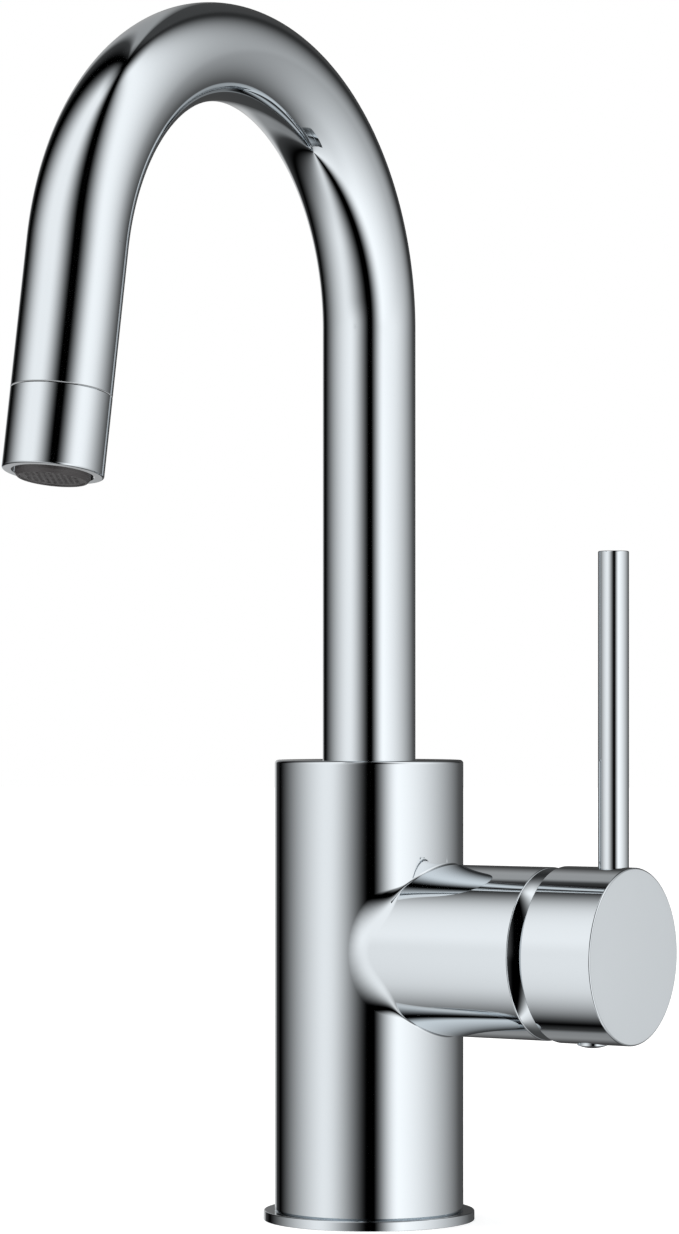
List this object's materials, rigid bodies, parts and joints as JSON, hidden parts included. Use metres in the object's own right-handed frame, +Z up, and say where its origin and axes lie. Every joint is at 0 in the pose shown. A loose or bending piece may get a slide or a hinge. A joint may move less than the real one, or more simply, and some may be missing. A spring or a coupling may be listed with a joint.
{
  "type": "gooseneck bar faucet",
  "caption": "Chromed gooseneck bar faucet with a swivelling spout, a side lever hub with a slender rod, a ceramic-disc mixing cartridge and a clamp for the counter.",
  "frame": {"origin": "on the body's axis, at the underside of the flange that rests on the counter", "axes": "+Z up along the body and the riser, -Y towards the outlet, +X along the branch to the lever hub"},
  "size_m": [0.1102, 0.1814, 0.368],
  "materials": {
    "chrome": "polished chrome plating",
    "brass": "turned brass",
    "steel": "plain stainless steel",
    "rubber": "black sealing rubber",
    "black_plastic": "moulded black plastic",
    "grey_plastic": "moulded grey plastic",
    "white_plastic": "moulded white plastic",
    "ceramic": "lapped white ceramic"
  },
  "bodies": {
    "body": {"body_shell": "chrome", "deck_flange": "chrome", "flange_seal": "rubber", "mounting_shank": "brass", "deck_washer_rubber": "rubber", "deck_washer_steel": "steel", "mounting_nut": "brass", "spout_snap_ring": "steel", "cartridge_base": "white_plastic", "outlet_port_seal": "rubber", "hot_port_seal": "rubber", "cold_port_seal": "rubber", "fixed_disc": "ceramic", "cartridge_housing": "grey_plastic", "cartridge_nut": "brass", "bonnet_dome": "chrome"},
    "spout": {"spout_tube": "chrome", "spout_spigot": "brass", "lower_slip_ring": "white_plastic", "lower_o_ring": "rubber", "upper_o_ring": "rubber", "upper_slip_ring": "white_plastic", "nozzle_sleeve": "chrome", "aerator_cage": "black_plastic", "aerator_screen": "grey_plastic", "aerator_seal": "rubber"},
    "carrier": {"stem_carrier": "grey_plastic", "stem_pin": "steel"},
    "disc": {"moving_disc": "ceramic", "disc_driver": "white_plastic"},
    "lever": {"lever_stem": "steel", "handle_hub": "chrome", "lever_rod": "chrome", "hub_set_screw": "steel", "screw_plug": "chrome"}
  },
  "joints": [
    {"name": "spout_swivel", "type": "hinge", "parent": "body", "child": "spout", "pos_m": [0, 0, 0.1], "axis": [0, 0, 1], "continuous": true},
    {"name": "temperature_turn", "type": "hinge", "parent": "body", "child": "carrier", "pos_m": [0.04545, 0, 0.0732], "axis": [1, 0, 0], "range_deg": [-45, 45]},
    {"name": "flow_tilt", "type": "hinge", "parent": "carrier", "child": "lever", "pos_m": [0.04545, 0, 0.0732], "axis": [0, 1, 0], "range_deg": [0, 20]},
    {"name": "disc_slide", "type": "slide", "parent": "carrier", "child": "disc", "axis": [0, 0, 1], "range_m": [0, 0.004]}
  ],
  "couplings": [
    {"joint": "disc_slide", "follows": "flow_tilt", "m_per_rad": 0.01063}
  ]
}
